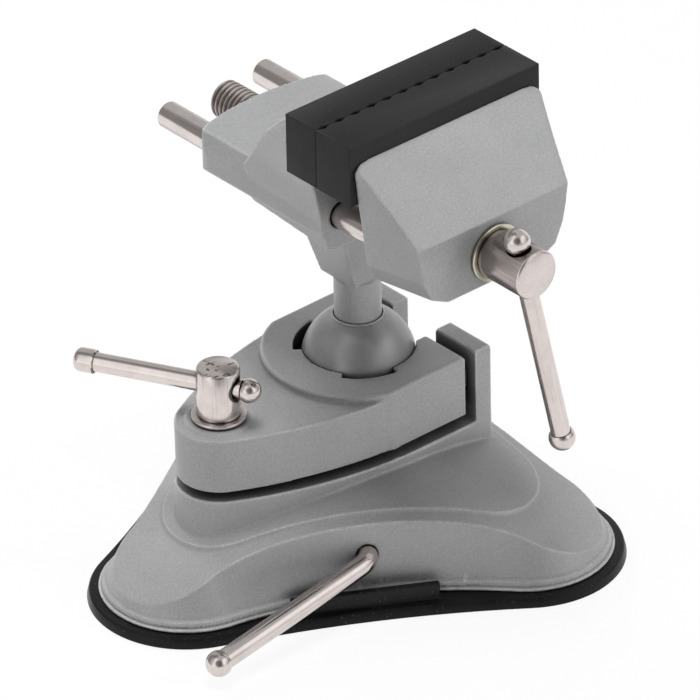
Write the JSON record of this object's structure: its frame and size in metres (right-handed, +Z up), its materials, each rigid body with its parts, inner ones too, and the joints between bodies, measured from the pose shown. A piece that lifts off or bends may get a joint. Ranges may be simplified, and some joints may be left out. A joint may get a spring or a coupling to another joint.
{
  "type": "suction base vise",
  "caption": "Swivel ball vise on a three-lobed suction base, with rubber-faced jaws, a clamp screw, a lead screw and a suction lever.",
  "frame": {"origin": "centre of the flat underside of the rubber suction pad, on the bench top", "axes": "+Z up; +X from the clamp screw to the two ears; -Y towards the head of the lead screw"},
  "size_m": [0.1462, 0.1596, 0.1547],
  "materials": {
    "casting": "die-cast alloy with fine silver-grey paint",
    "pad_rubber": "smooth black rubber",
    "grip_rubber": "matt dark grey rubber",
    "plated_steel": "bright nickel-plated steel",
    "yellow_steel": "yellow-passivated steel",
    "stud_steel": "plain machined steel"
  },
  "bodies": {
    "base": {"base_casting": "casting", "suction_pad": "pad_rubber"},
    "lever": {"suction_lever": "plated_steel", "lever_ball": "plated_steel", "lever_cam": "stud_steel", "lever_clip": "stud_steel"},
    "stud": {"pad_stud": "stud_steel"},
    "washer": {"clamp_washer": "plated_steel"},
    "clamp_screw_body": {"clamp_screw": "plated_steel"},
    "clamp_bar_body": {"clamp_bar": "plated_steel", "clamp_bar_ball": "plated_steel", "clamp_bar_cap": "plated_steel"},
    "plate": {"clamp_plate": "casting"},
    "ball": {"swivel_ball": "casting"},
    "head": {"fixed_jaw": "casting", "rear_grip": "grip_rubber"},
    "front_jaw": {"moving_jaw": "casting", "front_grip": "grip_rubber", "guide_rod_left": "plated_steel", "guide_rod_right": "plated_steel"},
    "lead": {"lead_screw": "plated_steel", "lead_washer": "yellow_steel", "lead_clip": "stud_steel"},
    "lead_bar_body": {"lead_bar": "plated_steel", "lead_bar_upper_ball": "plated_steel", "lead_bar_lower_ball": "plated_steel"}
  },
  "joints": [
    {"name": "lever_turn", "type": "hinge", "parent": "base", "child": "lever", "pos_m": [0, 0, 0.0164], "axis": [0.5, 0.866, 0], "range_deg": [0, 150]},
    {"name": "stud_lift", "type": "slide", "parent": "base", "child": "stud", "axis": [0, 0, 1], "range_m": [0, 0.00233]},
    {"name": "clamp_lift", "type": "slide", "parent": "base", "child": "washer", "axis": [0, 0, 1], "range_m": [0, 0.00125]},
    {"name": "clamp_turn", "type": "hinge", "parent": "washer", "child": "clamp_screw_body", "pos_m": [-0.0445, 0, 0.0556], "axis": [0, 0, 1], "range_deg": [0, 361]},
    {"name": "clamp_bar_slide", "type": "slide", "parent": "clamp_screw_body", "child": "clamp_bar_body", "axis": [0.4695, -0.8829, 0], "range_m": [0, 0.0312]},
    {"name": "plate_hinge", "type": "hinge", "parent": "base", "child": "plate", "pos_m": [0.03355, 0, 0.047], "axis": [0, 1, 0], "range_deg": [0, 0.75]},
    {"name": "ball_tilt", "type": "hinge", "parent": "base", "child": "ball", "pos_m": [0.009, 0, 0.053], "axis": [0, 1, 0], "range_deg": [-25, 90]},
    {"name": "head_turn", "type": "hinge", "parent": "ball", "child": "head", "pos_m": [0.009, 0, 0.07], "axis": [0, 0, -1], "range_deg": [-225, 112]},
    {"name": "jaw_slide", "type": "slide", "parent": "head", "child": "front_jaw", "axis": [0, -1, 0], "range_m": [0, 0.05]},
    {"name": "lead_turn", "type": "hinge", "parent": "front_jaw", "child": "lead", "pos_m": [0.009, -0.07, 0.11565], "axis": [0, -1, 0], "range_deg": [0, 10290]},
    {"name": "lead_bar_slide", "type": "slide", "parent": "lead", "child": "lead_bar_body", "axis": [-0.225, 0, 0.9744], "range_m": [0, 0.0522]}
  ],
  "couplings": [
    {"joint": "lever_turn", "follows": "stud_lift", "rad_per_m": 1123.6},
    {"joint": "clamp_turn", "follows": "clamp_lift", "rad_per_m": 5026.5},
    {"joint": "plate_hinge", "follows": "clamp_lift", "rad_per_m": 10.2},
    {"joint": "lead_turn", "follows": "jaw_slide", "rad_per_m": 3590.4}
  ]
}
